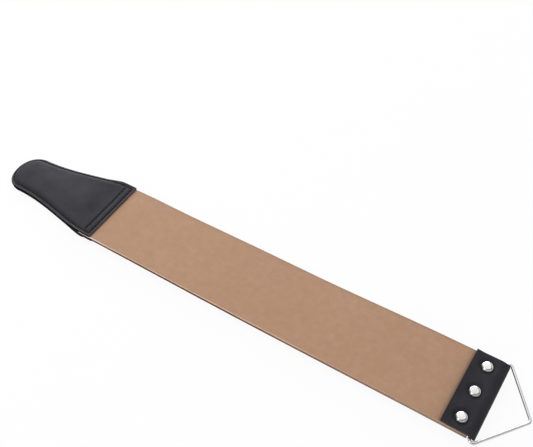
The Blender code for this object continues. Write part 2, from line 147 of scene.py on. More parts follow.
# Ring and rivets
WIRE_RADIUS = 1.1
RING_HALF_BASE = 35.3
RING_HEIGHT = 27.7
BASE_BEND = 2.4
APEX_BEND = 2.5
BEND_STEPS = 18
WIRE_GAP = 0.5
WIRE_STEP = 3.0
CAP_RADIUS = 3.75
SEAT_RADIUS = 4.0
DIMPLE_WIDTH = 3.4
DIMPLE_DEPTH = 0.72
DOME_POWER = 2.6
DOME_INSET = 0.12
DOME_BASE = 0.5
DOME_RISE = 1.5
LIP_RADIUS = 0.25
SOCKET_RADIUS = 1.7
SOCKET_DEPTH = 1.1
POST_RADIUS = 1.5
POST_CHAMFER = 0.1
POST_REACH = 0.9
FLANGE_RADIUS = 4.0
FLANGE_ROUND = 0.45
FLANGE_FLAT = 3.5
FLANGE_FOOT = 3.4

# Stage, light and camera, in metres and degrees
FLOOR_HALF = 2.5
FLOOR_DROP = 0.0001
SKY_STOPS = (
    (0.0, (0.98, 0.98, 0.98, 1.0)),
    (0.22, (0.77, 0.77, 0.78, 1.0)),
    (0.36, (0.76, 0.76, 0.77, 1.0)),
    (0.72, (0.4, 0.4, 0.41, 1.0)),
    (1.0, (0.15, 0.15, 0.16, 1.0)),
)
# Each dark side: its direction, and the cosines where it begins and where it is full
DARK_SIDES = (((0.77, 0.21, 0.60), 0.93, 0.975), ((-0.87, -0.17, 0.45), 0.93, 0.96))
DARK_COLOUR = (0.05, 0.05, 0.06, 1.0)
CAMERA_PLACE = (0.22684, -0.22903, 0.43651)
CAMERA_TURN = (39.87, 4.819, 33.42)
CAMERA_LENS = 48.886
SENSOR_WIDTH = 36.0


def clamp(value):
    """Keep a share between 0 and 1."""
    return min(max(value, 0.0), 1.0)


def smoothstep(value):
    """Ease from 0 to 1 with level ends."""
    value = clamp(value)
    return value * value * (3.0 - 2.0 * value)


def mix(a, b, share):
    """Value part of the way from a to b."""
    return a + (b - a) * share


def hump(value):
    """Bell of height 1 about 0."""
    return math.exp(-value * value)


def waver(x, y, z, size):
    """Smooth unevenness between -1 and 1, with features of about the given size."""
    return noise.noise(Vector((x, y, z)) / size)


def srgb(red, green, blue):
    """Screen colour, 0 to 255, as a linear colour."""
    channels = []
    for value in (red, green, blue):
        share = value / 255
        channels.append(share / 12.92 if share <= 0.04045 else ((share + 0.055) / 1.055) ** 2.4)
    return (*channels, 1.0)


# Materials


def new_material(name):
    """Material with its node tree and its Principled shader."""
    made = bpy.data.materials.new(name)
    made.use_nodes = True
    tree = made.node_tree
    return made, tree, tree.nodes["Principled BSDF"]


def add_node(tree, kind, inputs=None, **settings):
    """Node with its settings, and each input set or linked."""
    made = tree.nodes.new(kind)
    for key, value in settings.items():
        setattr(made, key, value)
    for key, value in (inputs or {}).items():
        if isinstance(value, bpy.types.NodeSocket):
            tree.links.new(value, made.inputs[key])
        else:
            made.inputs[key].default_value = value
    return made


def place(tree, scale=(1.0, 1.0, 1.0)):
    """Object coordinates, stretched."""
    coord = add_node(tree, "ShaderNodeTexCoord").outputs["Object"]
    return add_node(tree, "ShaderNodeMapping", {"Vector": coord, "Scale": scale}).outputs["Vector"]


def speckle(tree, vector, scale, detail=3.0, rough=0.55):
    """Noise between 0 and 1."""
    inputs = {"Vector": vector, "Scale": scale, "Detail": detail, "Roughness": rough}
    return add_node(tree, "ShaderNodeTexNoise", inputs).outputs["Fac"]


def cells(tree, vector, scale, feature="F1"):
    """Distance pattern of leather pores."""
    return add_node(tree, "ShaderNodeTexVoronoi", {"Vector": vector, "Scale": scale},
                    feature=feature).outputs["Distance"]


def ramp(tree, factor, stops):
    """Colour ramp through (place, colour) stops."""
    made = add_node(tree, "ShaderNodeValToRGB", {"Fac": factor})
    elements = made.color_ramp.elements
    while len(elements) < len(stops):
        elements.new(0.5)
    for element, (where, colour) in zip(elements, stops):
        element.position = where
        element.color = colour
    return made.outputs["Color"]


def blend(tree, factor, first, second):
    """Mix of two colours."""
    made = tree.nodes.new("ShaderNodeMix")
    made.data_type = "RGBA"
    for key, value in ((0, factor), (6, first), (7, second)):
        if isinstance(value, bpy.types.NodeSocket):
            tree.links.new(value, made.inputs[key])
        else:
            made.inputs[key].default_value = value
    return made.outputs[2]


def maths(tree, kind, first, second):
    """Sum, product or other operation on two numbers."""
    return add_node(tree, "ShaderNodeMath", {0: first, 1: second}, operation=kind).outputs[0]


def remap(tree, value, low, high, to_low, to_high):
    """Number moved from one range to another, kept inside it."""
    return add_node(tree, "ShaderNodeMapRange", {"Value": value, "From Min": low, "From Max": high,
                                                 "To Min": to_low, "To Max": to_high}).outputs["Result"]


def bump(tree, height, strength, distance, normal=None):
    """Bumped normal."""
    inputs = {"Height": height, "Strength": strength, "Distance": distance}
    if normal is not None:
        inputs["Normal"] = normal
    return add_node(tree, "ShaderNodeBump", inputs).outputs["Normal"]


def tan_leather():
    """Smooth tan strop leather: pores, mottling, lengthwise marks, a burnished far edge, painted shadow
    beside the band's free edge.
    """
    made, tree, shader = new_material("tan_strop_leather")
    flat = place(tree)
    lengthwise = place(tree, (0.09, 1.0, 1.0))
    blotch = speckle(tree, flat, 26.0, 3.0)
    mottle = speckle(tree, flat, 210.0, 4.0, 0.65)
    streak = speckle(tree, lengthwise, 420.0, 3.0, 0.6)
    tones = ((0.25, srgb(166, 130, 102)), (0.52, srgb(173, 137, 110)), (0.8, srgb(180, 145, 118)))
    colour = ramp(tree, mottle, tones)
    colour = blend(tree, remap(tree, blotch, 0.35, 0.7, 0.0, 0.3), colour, srgb(166, 129, 101))
    colour = blend(tree, remap(tree, streak, 0.56, 0.74, 0.0, 0.2), colour, srgb(156, 119, 91))
    where = add_node(tree, "ShaderNodeSeparateXYZ", {0: flat}).outputs
    # Painted shadow: the strap darkens towards the band's free edge, where the band shades it
    band_x = BAR_X + BAND_EDGE
    band_edge_shade = remap(tree, where["X"], (band_x - BAND_EDGE_SHADE_REACH) * MM, band_x * MM, 0.0, 0.62)
    colour = blend(tree, band_edge_shade, colour, srgb(70, 52, 44))
    burnished = remap(tree, where["Y"], (STRAP_HALF - BURNISHED_EDGE) * MM, STRAP_HALF * MM, 0.0, 0.75)
    colour = blend(tree, burnished, colour, srgb(112, 94, 78))
    tree.links.new(colour, shader.inputs["Base Color"])
    tree.links.new(remap(tree, mottle, 0.2, 0.8, 0.5, 0.68), shader.inputs["Roughness"])
    pores = cells(tree, flat, 1500.0)
    normal = bump(tree, pores, 0.25, 0.00008)
    normal = bump(tree, mottle, 0.14, 0.0003, normal)
    normal = bump(tree, streak, 0.12, 0.0002, normal)
    tree.links.new(normal, shader.inputs["Normal"])
    shader.inputs["Specular IOR Level"].default_value = 0.2
    return made


def cut_edge(name, dark, middle, light, mouth_painted_light, wear_and_painted_light):
    """Cut side of a leather layer: fibres, stretches of dye, painted light at the mouth and painted shading
    along the length towards the band.
    """
    made, tree, shader = new_material(name)
    fibres = speckle(tree, place(tree, (0.05, 1.0, 1.0)), 900.0, 4.0, 0.7)
    stretch = speckle(tree, place(tree, (1.0, 0.1, 0.1)), 24.0, 2.0)
    colour = ramp(tree, stretch, ((0.3, dark), (0.5, middle), (0.7, light)))
    colour = blend(tree, remap(tree, fibres, 0.35, 0.7, 0.0, 0.4), colour, middle)
    x = add_node(tree, "ShaderNodeSeparateXYZ", {0: place(tree)}).outputs["X"]
    # Painted light at the mouth: a painted highlight on the face layer's edge, painted shade on the backing's
    # edge
    near = remap(tree, x, (MOUTH_X + MOUTH_PAINTED_LIGHT_FROM) * MM, (MOUTH_X + MOUTH_PAINTED_LIGHT_TO) * MM, 0.85, 0.0)
    colour = blend(tree, near, colour, mouth_painted_light)
    # Painted shading along the length: towards the band the face edge is drawn darker and the backing edge
    # paler
    far = remap(tree, x, (MOUTH_X + PAINTED_SHADING_FROM) * MM, (MOUTH_X + PAINTED_SHADING_TO) * MM, 0.0, 0.9)
    colour = blend(tree, far, colour, wear_and_painted_light)
    tree.links.new(colour, shader.inputs["Base Color"])
    tree.links.new(remap(tree, fibres, 0.3, 0.7, 0.6, 0.85), shader.inputs["Roughness"])
    tree.links.new(bump(tree, fibres, 0.5, 0.0002), shader.inputs["Normal"])
    shader.inputs["Specular IOR Level"].default_value = 0.05
    return made


def backing_leather():
    """Brown flesh side: short nap and long soft streaks."""
    made, tree, shader = new_material("brown_backing_leather")
    flat = place(tree)
    nap = speckle(tree, place(tree, (0.35, 1.0, 1.0)), 1100.0, 5.0, 0.7)
    cloud = speckle(tree, flat, 45.0, 4.0)
    tones = ((0.3, srgb(112, 78, 62)), (0.55, srgb(130, 94, 75)), (0.8, srgb(146, 109, 88)))
    colour = ramp(tree, cloud, tones)
    colour = blend(tree, remap(tree, nap, 0.4, 0.75, 0.0, 0.35), colour, srgb(160, 124, 102))
    tree.links.new(colour, shader.inputs["Base Color"])
    tree.links.new(remap(tree, nap, 0.3, 0.7, 0.72, 0.92), shader.inputs["Roughness"])
    tree.links.new(bump(tree, nap, 0.6, 0.0002), shader.inputs["Normal"])
    shader.inputs["Sheen Weight"].default_value = 0.15
    shader.inputs["Sheen Roughness"].default_value = 0.5
    shader.inputs["Specular IOR Level"].default_value = 0.2
    return made


def black_leather(name, deep, plain, wear_and_painted_light, pebble, gloss):
    """Dyed leather with a pebbled grain, a painted highlight on the handle's rim and mouth, and painted shade
    where a seam or rivet presses in.
    """
    made, tree, shader = new_material(name)
    flat = place(tree)
    warp = speckle(tree, flat, 500.0, 2.0)
    most = (0.0006, 0.0006, 0.0006)
    shift = add_node(tree, "ShaderNodeVectorMath", {0: most, "Scale": warp}, operation="SCALE")
    bent = add_node(tree, "ShaderNodeVectorMath", {0: flat, 1: shift.outputs["Vector"]}, operation="ADD")
    grain = cells(tree, bent.outputs["Vector"], pebble, "DISTANCE_TO_EDGE")
    fine = speckle(tree, flat, 1500.0, 4.0, 0.65)
    cloud = speckle(tree, flat, 60.0, 3.0)
    colour = ramp(tree, cloud, ((0.3, deep), (0.55, plain), (0.8, wear_and_painted_light)))
    colour = blend(tree, remap(tree, grain, 0.0, 0.08, 0.55, 0.0), colour, deep)
    painted_crease_shade = add_node(tree, "ShaderNodeAttribute", attribute_name="painted_crease_shade").outputs["Fac"]
    painted_highlight_share = add_node(tree, "ShaderNodeAttribute", attribute_name="wear_and_painted_light").outputs["Fac"]
    # Painted highlight on the handle's rim, mostly its near side, and at its mouth
    colour = blend(tree, painted_highlight_share, colour, srgb(74, 74, 77))
    # Painted shade in the sewn channels and round the rivet caps
    colour = blend(tree, painted_crease_shade, colour, srgb(16, 16, 20))
    tree.links.new(colour, shader.inputs["Base Color"])
    tree.links.new(remap(tree, fine, 0.25, 0.75, 0.42, 0.58), shader.inputs["Roughness"])
    height = remap(tree, grain, 0.0, 0.14, 0.0, 1.0)
    normal = bump(tree, height, 0.22, 0.00012)
    normal = bump(tree, fine, 0.12, 0.0001, normal)
    tree.links.new(normal, shader.inputs["Normal"])
    shader.inputs["Specular IOR Level"].default_value = gloss
    return made


def dyed_and_shaded_edge():
    """Black dyed cut edge of the handle's covers, drawn darker and without gloss as painted shade along the
    edge.
    """
    made, tree, shader = new_material("black_dyed_edge_and_shade")
    fibres = speckle(tree, place(tree, (0.3, 0.3, 1.0)), 1200.0, 4.0, 0.7)
    colour = ramp(tree, fibres, ((0.3, srgb(10, 10, 12)), (0.7, srgb(24, 23, 25))))
    tree.links.new(colour, shader.inputs["Base Color"])
    tree.links.new(remap(tree, fibres, 0.3, 0.7, 0.55, 0.75), shader.inputs["Roughness"])
    tree.links.new(bump(tree, fibres, 0.4, 0.0002), shader.inputs["Normal"])
    shader.inputs["Specular IOR Level"].default_value = 0.0
    return made


def thread_material():
    """Waxed black thread with its twist."""
    made, tree, shader = new_material("waxed_black_thread")
    coord = add_node(tree, "ShaderNodeTexCoord").outputs["Object"]
    slanted = add_node(tree, "ShaderNodeMapping", {"Vector": coord, "Rotation": (0.0, 0.0, 0.8)})
    wave = {"Vector": slanted.outputs["Vector"], "Scale": 620.0, "Distortion": 1.5}
    twist = add_node(tree, "ShaderNodeTexWave", wave).outputs["Fac"]
    colour = ramp(tree, twist, ((0.2, srgb(14, 14, 18)), (0.8, srgb(38, 37, 42))))
    tree.links.new(colour, shader.inputs["Base Color"])
    tree.links.new(remap(tree, twist, 0.0, 1.0, 0.62, 0.48), shader.inputs["Roughness"])
    tree.links.new(bump(tree, twist, 0.6, 0.00012), shader.inputs["Normal"])
    shader.inputs["Specular IOR Level"].default_value = 0.3
    return made


def felt_material():
    """Dark felt filler between the covers."""
    made, tree, shader = new_material("dark_felt_filler")
    fibres = speckle(tree, place(tree), 900.0, 5.0, 0.75)
    colour = ramp(tree, fibres, ((0.3, srgb(24, 22, 22)), (0.7, srgb(48, 44, 42))))
    tree.links.new(colour, shader.inputs["Base Color"])
    tree.links.new(bump(tree, fibres, 0.8, 0.0004), shader.inputs["Normal"])
    shader.inputs["Roughness"].default_value = 0.95
    return made


def plated_metal(name, bright, dull, smooth, rough, scratch_scale):
    """Plated metal with faint handling marks."""
    made, tree, shader = new_material(name)
    marks = speckle(tree, place(tree, (1.0, 0.25, 1.0)), scratch_scale, 4.0, 0.7)
    film = speckle(tree, place(tree), 160.0, 3.0)
    tree.links.new(ramp(tree, film, ((0.3, dull), (0.65, bright))), shader.inputs["Base Color"])
    tree.links.new(remap(tree, marks, 0.3, 0.75, smooth, rough), shader.inputs["Roughness"])
    tree.links.new(bump(tree, marks, 0.05, 0.00005), shader.inputs["Normal"])
    shader.inputs["Metallic"].default_value = 1.0
    return made


def floor_material():
    """Pale floor that shows nearly white and keeps a soft shadow."""
    made, tree, shader = new_material("pale_floor")
    out = tree.nodes["Material Output"]
    grain = speckle(tree, place(tree), 30.0, 2.0)
    colour = ramp(tree, grain, ((0.3, srgb(236, 236, 235)), (0.7, srgb(240, 240, 239))))
    tree.links.new(colour, shader.inputs["Base Color"])
    shader.inputs["Roughness"].default_value = 0.9
    shader.inputs["Specular IOR Level"].default_value = 0.1
    path = add_node(tree, "ShaderNodeLightPath")
    seen = maths(tree, "MAXIMUM", path.outputs["Is Camera Ray"], path.outputs["Is Glossy Ray"])
    seen = maths(tree, "MAXIMUM", seen, path.outputs["Is Transmission Ray"])
    share = maths(tree, "MULTIPLY", seen, 0.93)
    glow = add_node(tree, "ShaderNodeEmission", {"Color": (1.0, 1.0, 1.0, 1.0), "Strength": 1.0})
    mixed = add_node(tree, "ShaderNodeMixShader", {0: share, 1: shader.outputs[0], 2: glow.outputs[0]})
    tree.links.new(mixed.outputs[0], out.inputs["Surface"])
    return made


# Mesh making


def finish_mesh(name, bm, materials, body, nodes, bevel=0.0):
    """Turn an edit mesh in millimetres into a piece that rides on a body and stands for its nodes."""
    bmesh.ops.recalc_face_normals(bm, faces=bm.faces[:])
    bmesh.ops.scale(bm, vec=(MM, MM, MM), verts=bm.verts[:])
    mesh = bpy.data.meshes.new(name)
    bm.to_mesh(mesh)
    bm.free()
    for finish in materials:
        mesh.materials.append(finish)
    mesh.shade_smooth()
    piece = bpy.data.objects.new(name, mesh)
    bpy.context.scene.collection.objects.link(piece)
    if bevel:
        rounding = piece.modifiers.new("rounded edges", "BEVEL")
        rounding.width = bevel * MM
        rounding.segments = 3
        rounding.limit_method = "ANGLE"
        rounding.angle_limit = math.radians(50)
        rounding.harden_normals = True
    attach(piece, body)
    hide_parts(*nodes)
    return piece


def grid_faces(bm, grid, closed_columns=False):
    """Quads over a grid of verts, given as columns of rows."""
    count = len(grid)
    for column in range(count if closed_columns else count - 1):
        here, there = grid[column], grid[(column + 1) % count]
        for row in range(len(here) - 1):
            bm.faces.new((here[row], there[row], there[row + 1], here[row + 1]))


def tube_rings(bm, points, frames, radii, steps):
    """Closed tube of rings about a path, each with its two cross directions and radius."""
    rings = []
    for point, (side, up), radius in zip(points, frames, radii):
        ring = []
        for step in range(steps):
            angle = 2 * math.pi * step / steps
            ring.append(bm.verts.new(point + radius * (math.cos(angle) * side + math.sin(angle) * up)))
        rings.append(ring)
    for first, second in zip(rings, rings[1:]):
        for step in range(steps):
            after = (step + 1) % steps
            bm.faces.new((first[step], first[after], second[after], second[step]))
    bm.faces.new(rings[0])
    bm.faces.new(rings[-1])


# Handle


def half_width(distance):
    """Half the handle's width at a distance from its mouth, up to the round tip."""
    share = max(distance - PAD_START, 0.0) / (TIP_CENTRE - PAD_START)
    return mix(TIP_RADIUS, MOUTH_HALF, (1 - share ** FLARE_POWER) ** 2)


def handle_ribs(start):
    """Ribs from the edge to the middle, from one side at a distance from the mouth round to the other."""
    stations = []
    distance = start
    while distance < PAD_START:
        stations.append(distance)
        distance += 0.4
    steps = 66
    first = max(start, PAD_START)
    stations += [mix(first, TIP_CENTRE, step / steps) for step in range(steps + 1)]
    front = [(Vector((-d, -half_width(d))), Vector((-d, 0.0))) for d in stations]
    back = [(Vector((-d, half_width(d))), Vector((-d, 0.0))) for d in stations]
    centre = Vector((-TIP_CENTRE, 0.0))
    tip = []
    turns = 44
    for step in range(1, turns):
        angle = math.pi * step / turns
        across = math.cos(angle)
        outward = math.sin(angle)
        reach = TIP_RADIUS / (abs(across) ** TIP_POWER + outward ** TIP_POWER) ** (1 / TIP_POWER)
        tip.append((centre - reach * Vector((outward, across)), centre))
    return front + tip + back[::-1]


def rim_climb(distance):
    """Rise of the rim over its height at the tip."""
    return RIM_CLIMB * (HANDLE_LENGTH - distance) / (HANDLE_LENGTH - PAD_START)


def rim_rise(inset):
    """Rise of the rounded rim from its edge to the seam."""
    return RIM_RISE * (1 - (1 - clamp(inset / RIM_WIDTH)) ** 1.4)


def run_out(distance):
    """Share of the padded form, from none over the strap's end."""
    return smoothstep((distance - PAD_START) / PAD_RUN_OUT)


def seam_press(distance, inset):
    """Depth share of the sewn channels: round the edge, across the mouth, and the second row."""
    edge = hump((inset - SEAM_INSET) / SEAM_WIDTH) * smoothstep(distance - MOUTH_ROW + 1.0)
    inside = smoothstep(inset - SEAM_INSET + 1.0)
    first = hump((distance - MOUTH_ROW) / SEAM_WIDTH) * inside
    second = hump((distance - SECOND_ROW) / SEAM_WIDTH) * smoothstep((inset - SECOND_ROW_INSET + 0.9) / 0.9)
    return max(edge, first, second)


def rim_painted_highlight(distance, inset, y):
    """Share of painted highlight: on the rim, mostly its near side, between the mouth's rows and at its edge.
    """
    rim = smoothstep((inset - 0.4) / 0.6) * (1 - smoothstep((inset - 1.5) / 0.9))
    rim *= smoothstep((distance - 4.0) / 8.0)
    rim *= mix(0.15, 0.8, smoothstep((8.0 - y) / 16.0))
    between = hump((distance - (MOUTH_ROW + SECOND_ROW) / 2) / 1.9)
    between *= smoothstep((inset - SEAM_INSET - 1.0) / 1.5)
    mouth = 1 - smoothstep((distance - 0.4) / 1.1)
    return max(rim, 0.08 * between, 0.75 * mouth)


def puff(distance, inset):
    """Leather standing up between the two rows of stitches across the mouth."""
    share = clamp((distance - MOUTH_ROW) / (SECOND_ROW - MOUTH_ROW))
    return 0.12 * math.sin(math.pi * share) ** 2 * smoothstep((inset - SEAM_INSET) / 2.0)


def top_level(distance, inset, length):
    """Top cover's face before its channels are pressed in."""
    rise = rim_rise(inset)
    rise += SHOULDER_RISE * smoothstep((inset - SHOULDER_START) / SHOULDER_WIDTH)
    rise += CROWN_RISE * math.sin(math.pi / 2 * clamp((inset - CROWN_START) / (length - CROWN_START)))
    return mix(MOUTH_TOP, RIM_TOP + rim_climb(distance) + rise, run_out(distance))


def bottom_level(distance, inset, length):
    """Bottom cover's face before its channels are pressed in: flat where it lies on the table."""
    rim = RIM_BOTTOM + rim_climb(distance)
    down = smoothstep((inset - SHOULDER_START) / (FLAT_INSET - SHOULDER_START))
    return mix(MOUTH_BOTTOM, mix(rim, 0.0, down), run_out(distance))


def rib_insets(length):
    """Distances in from the edge: close together over the rim and its seam, wider over the pad."""
    insets = [0.27 * step for step in range(22)]
    return insets + [mix(insets[-1], length, step / 11) for step in range(1, 12)]


def handle_cover(name, node, level_at, side, finishes):
    """Cover with its sewn channels, as one closed skin of leather."""
    bm = bmesh.new()
    inner = bm.verts.layers.float.new("inner")
    painted_crease_shade = bm.verts.layers.float.new("painted_crease_shade")
    wear_and_painted_light = bm.verts.layers.float.new("wear_and_painted_light")
    reach = bm.verts.layers.float.new("reach")
    grid = []
    for edge, middle in handle_ribs(0.0):
        length = (middle - edge).length
        column = []
        for inset in rib_insets(length):
            point = edge.lerp(middle, inset / length)
            distance = -point.x
            level = level_at(distance, inset, length)
            press = seam_press(distance, inset)
            if side < 0:
                tucked = LOWER_MOUTH_INSET * (1 - smoothstep((distance - 8.0) / 3.0)) / STRAP_HALF
                point.y *= 1 - tucked
            soft = smoothstep((inset - 4.5) / 4.0) * smoothstep(distance / 4.0)
            uneven = 0.10 * waver(point.x, point.y, side, 16.0) + 0.04 * waver(point.x, point.y, side, 5.0)
            height = level + side * (puff(distance, inset) - SEAM_DEPTH * press)
            height += soft * uneven if side > 0 else 0.0
            vert = bm.verts.new((MOUTH_X + point.x, point.y, height))
            vert[inner] = level - side * COVER
            # Painted shade in the sewn channels
            vert[painted_crease_shade] = 0.85 * press ** 1.5
            # Painted highlight share on the rim, mostly its near side, and at the mouth
            vert[wear_and_painted_light] = rim_painted_highlight(distance, inset, point.y)
            vert[reach] = inset
            column.append(vert)
        grid.append(column)
    grid_faces(bm, grid)
    bmesh.ops.remove_doubles(bm, verts=bm.verts[:], dist=WELD)
    # Faces at the outer edge take the black edge material: dye, and painted shade along the edge
    leather = {face for face in bm.faces if max(vert[reach] for vert in face.verts) > DYED_SHADED_RIM}
    raised = bmesh.ops.extrude_face_region(bm, geom=bm.faces[:])["geom"]
    leather.update(face for face in raised if isinstance(face, bmesh.types.BMFace))
    for face in bm.faces:
        at_mouth = min(vert.co.x for vert in face.verts) > MOUTH_X - 0.1
        face.material_index = 0 if face in leather or at_mouth else 1
    for vert in raised:
        if isinstance(vert, bmesh.types.BMVert):
            vert.co.z = vert[inner]
    return finish_mesh(name, bm, finishes, "strop", [node], COVER_ROUND)


def handle_filler(finish):
    """Felt between the covers, seen only where they part beside the strap's end."""
    bm = bmesh.new()
    top = bm.verts.layers.float.new("top")
    grid = []
    for edge, middle in handle_ribs(PAD_START):
        length = (middle - edge).length
        column = []
        for step in range(13):
            inset = mix(RIM_WIDTH, length, step / 12)
            point = edge.lerp(middle, inset / length)
            low = bottom_level(-point.x, inset, length) + COVER + FILLER_GAP
            high = top_level(-point.x, inset, length) - COVER - FILLER_GAP
            fuzz = 0.08 * waver(point.x, point.y, 0.0, 1.5)
            vert = bm.verts.new((MOUTH_X + point.x, point.y, low))
            vert[top] = max(high, low + FILLER_LEAST) + fuzz
            column.append(vert)
        grid.append(column)
    grid_faces(bm, grid)
    bmesh.ops.remove_doubles(bm, verts=bm.verts[:], dist=WELD)
    raised = bmesh.ops.extrude_face_region(bm, geom=bm.faces[:])["geom"]
    for vert in raised:
        if isinstance(vert, bmesh.types.BMVert):
            vert.co.z = vert[top]
    return finish_mesh("handle_filler", bm, [finish], "strop", ["handle_core"])


def seam_point(distance, y, inset, length, level_at, side):
    """Point on the floor of a channel."""
    height = level_at(distance, inset, length) - side * SEAM_DEPTH
    return Vector((MOUTH_X - distance, y, height))


def edge_seam_path(level_at, side):
    """Closed line of the edge seam: round the handle, then across the mouth."""
    path = []
    for edge, middle in handle_ribs(MOUTH_ROW):
        length = (middle - edge).length
        point = edge.lerp(middle, SEAM_INSET / length)
        path.append(seam_point(-point.x, point.y, SEAM_INSET, length, level_at, side))
    start, end = path[-1], path[0]
    path += [start.lerp(end, step / 40) for step in range(1, 41)]
    return path


def cross_seam_path(level_at, side):
    """Line of the second row across the mouth."""
    half = STRAP_HALF - SECOND_ROW_INSET
    ends = [seam_point(SECOND_ROW, y, SECOND_ROW_INSET, STRAP_HALF, level_at, side) for y in (half, -half)]
    return [ends[0].lerp(ends[1], step / 40) for step in range(41)]


def along(path, lengths, where):
    """Point at a length along a path."""
    where = min(max(where, 0.0), lengths[-1])
    low, high = 0, len(lengths) - 1
    while high - low > 1:
        half = (low + high) // 2
        if lengths[half] <= where:
            low = half
        else:
            high = half
    span = lengths[high] - lengths[low]
    return path[low].lerp(path[high], (where - lengths[low]) / span if span else 0.0)


def stitches(name, node, path, side, finish):
    """Separate stitches lying in a channel, each dipping into its holes at both ends."""
    lengths = [0.0]
    for before, after in zip(path, path[1:]):
        lengths.append(lengths[-1] + (after - before).length)
    count = max(round(lengths[-1] / STITCH_PITCH), 1)
    pitch = lengths[-1] / count
    bm = bmesh.new()
    up = Vector((0.0, 0.0, side))
    for number in range(count):
        begin = number * pitch + STITCH_GAP / 2
        span = pitch - STITCH_GAP
        slant = 0.10 if number % 2 else -0.06
        points, frames, radii = [], [], []
        for step in range(9):
            share = step / 8
            where = begin + span * share
            here = along(path, lengths, where)
            ahead = along(path, lengths, where + NEARBY)
            back = along(path, lengths, where - NEARBY)
            forward = (ahead - back).normalized()
            across = forward.cross(up).normalized()
            rise = mix(-STITCH_DIP, THREAD_RADIUS * 0.92, math.sin(math.pi * share) ** 0.45)
            points.append(here + up * rise + across * slant * (share - 0.5) * 2)
            frames.append((across, across.cross(forward)))
            radii.append(THREAD_RADIUS * (0.62 + 0.38 * math.sin(math.pi * share) ** 0.4))
        tube_rings(bm, points, frames, radii, 8)
    return finish_mesh(name, bm, [finish], "strop", [node])


# Strap


def strap_sag(x):
    """Dip of the strap, level where the handle and the band hold it."""
    share = clamp(x / STRAP_SHOWING)
    return STRAP_SAG * 16 * share ** 2 * (1 - share) ** 2


def strap_wave(x, y):
    """Gentle waves of the leather's far side, and small unevenness, none where the strap is held."""
    share = clamp(x / STRAP_SHOWING)
    held = smoothstep(share / 0.08) * smoothstep((1 - share) / 0.08)
    far = smoothstep((y + 4.0) / STRAP_HALF)
    wave = 0.45 * math.cos(2 * math.pi * (share - 0.42) / 0.46) * (1 - 0.5 * share)
    return held * (far * wave + 0.07 * waver(x, y, 3.0, 32.0) + 0.03 * waver(x, y, 7.0, 9.0))


def round_corner(y, z, radius, start, material):
    """Points of a quarter turn about a place, clockwise from an angle in degrees."""
    points = []
    for step in range(5):
        angle = math.radians(start - 90.0 * step / 4)
        points.append((y + radius * math.cos(angle), z + radius * math.sin(angle), material))
    return points


def strap_section(bottom, thickness, top_round, low_round, dark_low_side, columns):
    """Points round a layer's cross-section with the material of the face that follows each."""
    top = bottom + thickness
    half = STRAP_HALF
    section = []
    for step in range(columns + 1):
        section.append((mix(-half + top_round, half - top_round, step / columns), top, 0))
    section += round_corner(half - top_round, top - top_round, top_round, 90.0, 1)
    # Below this height the cut side is drawn in the darker edge colour
    section.append((half, bottom + dark_low_side, 3))
    section += round_corner(half - low_round, bottom + low_round, low_round, 0.0, 3)
    half_columns = columns // 2
    for step in range(half_columns + 1):
        section.append((mix(half - low_round, -half + low_round, step / half_columns), bottom, 2))
    section += round_corner(-half + low_round, bottom + low_round, low_round, 270.0, 3)
    section.append((-half, bottom + dark_low_side, 1))
    section += round_corner(-half + top_round, top - top_round, top_round, 180.0, 1)
    cleaned = []
    for point in section:
        if cleaned and math.dist(cleaned[-1][:2], point[:2]) < WELD:
            cleaned[-1] = point
        else:
            cleaned.append(point)
    if math.dist(cleaned[0][:2], cleaned[-1][:2]) < WELD:
        cleaned.pop()
    return cleaned


def strap_layer(name, node, bottom, thickness, top_round, low_round, dark_low_side, finishes):
    """One leather layer of the strap, from inside the handle to inside the band."""
    section = strap_section(bottom, thickness, top_round, low_round, dark_low_side, 36)
    stations = [-TONGUE, -TONGUE / 2] + [STRAP_SHOWING * step / 130 for step in range(131)]
    stations += [STRAP_SHOWING + 8.0, STRAP_END]
    bm = bmesh.new()
    rings = []
    for x in stations:
        ring = []
        for y, z, _ in section:
            ring.append(bm.verts.new((MOUTH_X + x, y, z - strap_sag(x) + strap_wave(x, y))))
        rings.append(ring)
    count = len(section)
    for first, second in zip(rings, rings[1:]):
        for step in range(count):
            after = (step + 1) % count
            face = bm.faces.new((first[step], second[step], second[after], first[after]))
            face.material_index = section[step][2]
    for ring in (rings[0], rings[-1]):
        bm.faces.new(ring).material_index = 1
    return finish_mesh(name, bm, finishes, "strop", [node])


# End band


def fold_path():
    """Middle line of the folded band from the upper free edge round the bar to the lower free edge."""
    flap = STRAP_TOP - BAR_Z + BAND_GAP + BAND_THICKNESS / 2
    shoulder = Vector((SHOULDER_X, flap))
    spread = math.atan2(shoulder.y, shoulder.x) - math.acos(FOLD_RADIUS / shoulder.length)
    touch = FOLD_RADIUS * Vector((math.cos(spread), math.sin(spread)))
    path = []
    steps = 30
    for step in range(steps + 1):
        path.append(Vector((mix(BAND_EDGE, shoulder.x - 1.6, step / steps), flap)))
    start, end = path[-1].copy(), shoulder.lerp(touch, 0.75)
    for step in range(1, 9):
        share = step / 8
        path.append(start.lerp(shoulder, share).lerp(shoulder.lerp(end, share), share))
    arc = 22
    for step in range(arc + 1):
        angle = mix(spread, -spread, step / arc)
        path.append(FOLD_RADIUS * Vector((math.cos(angle), math.sin(angle))))
    upper = len(path) - 1 - arc
    path += [Vector((point.x, -point.y)) for point in path[:upper][::-1]]
    return path


def band_half_width(index, count):
    """Half the band's width, narrower in the lower flap."""
    share = index / (count - 1)
    return mix(BAND_HALF, TAIL_HALF, smoothstep((share - 0.5) / 0.12))


def dimple(x, y):
    """Share of the dip that a rivet presses into the band."""
    depth = 0.0
    for side in (-RIVET_SPAN, 0.0, RIVET_SPAN):
        away = math.hypot(x - RIVET_X, y - side)
        depth = max(depth, 1.0 - smoothstep((away - SEAT_RADIUS + 0.2) / DIMPLE_WIDTH))
    return depth


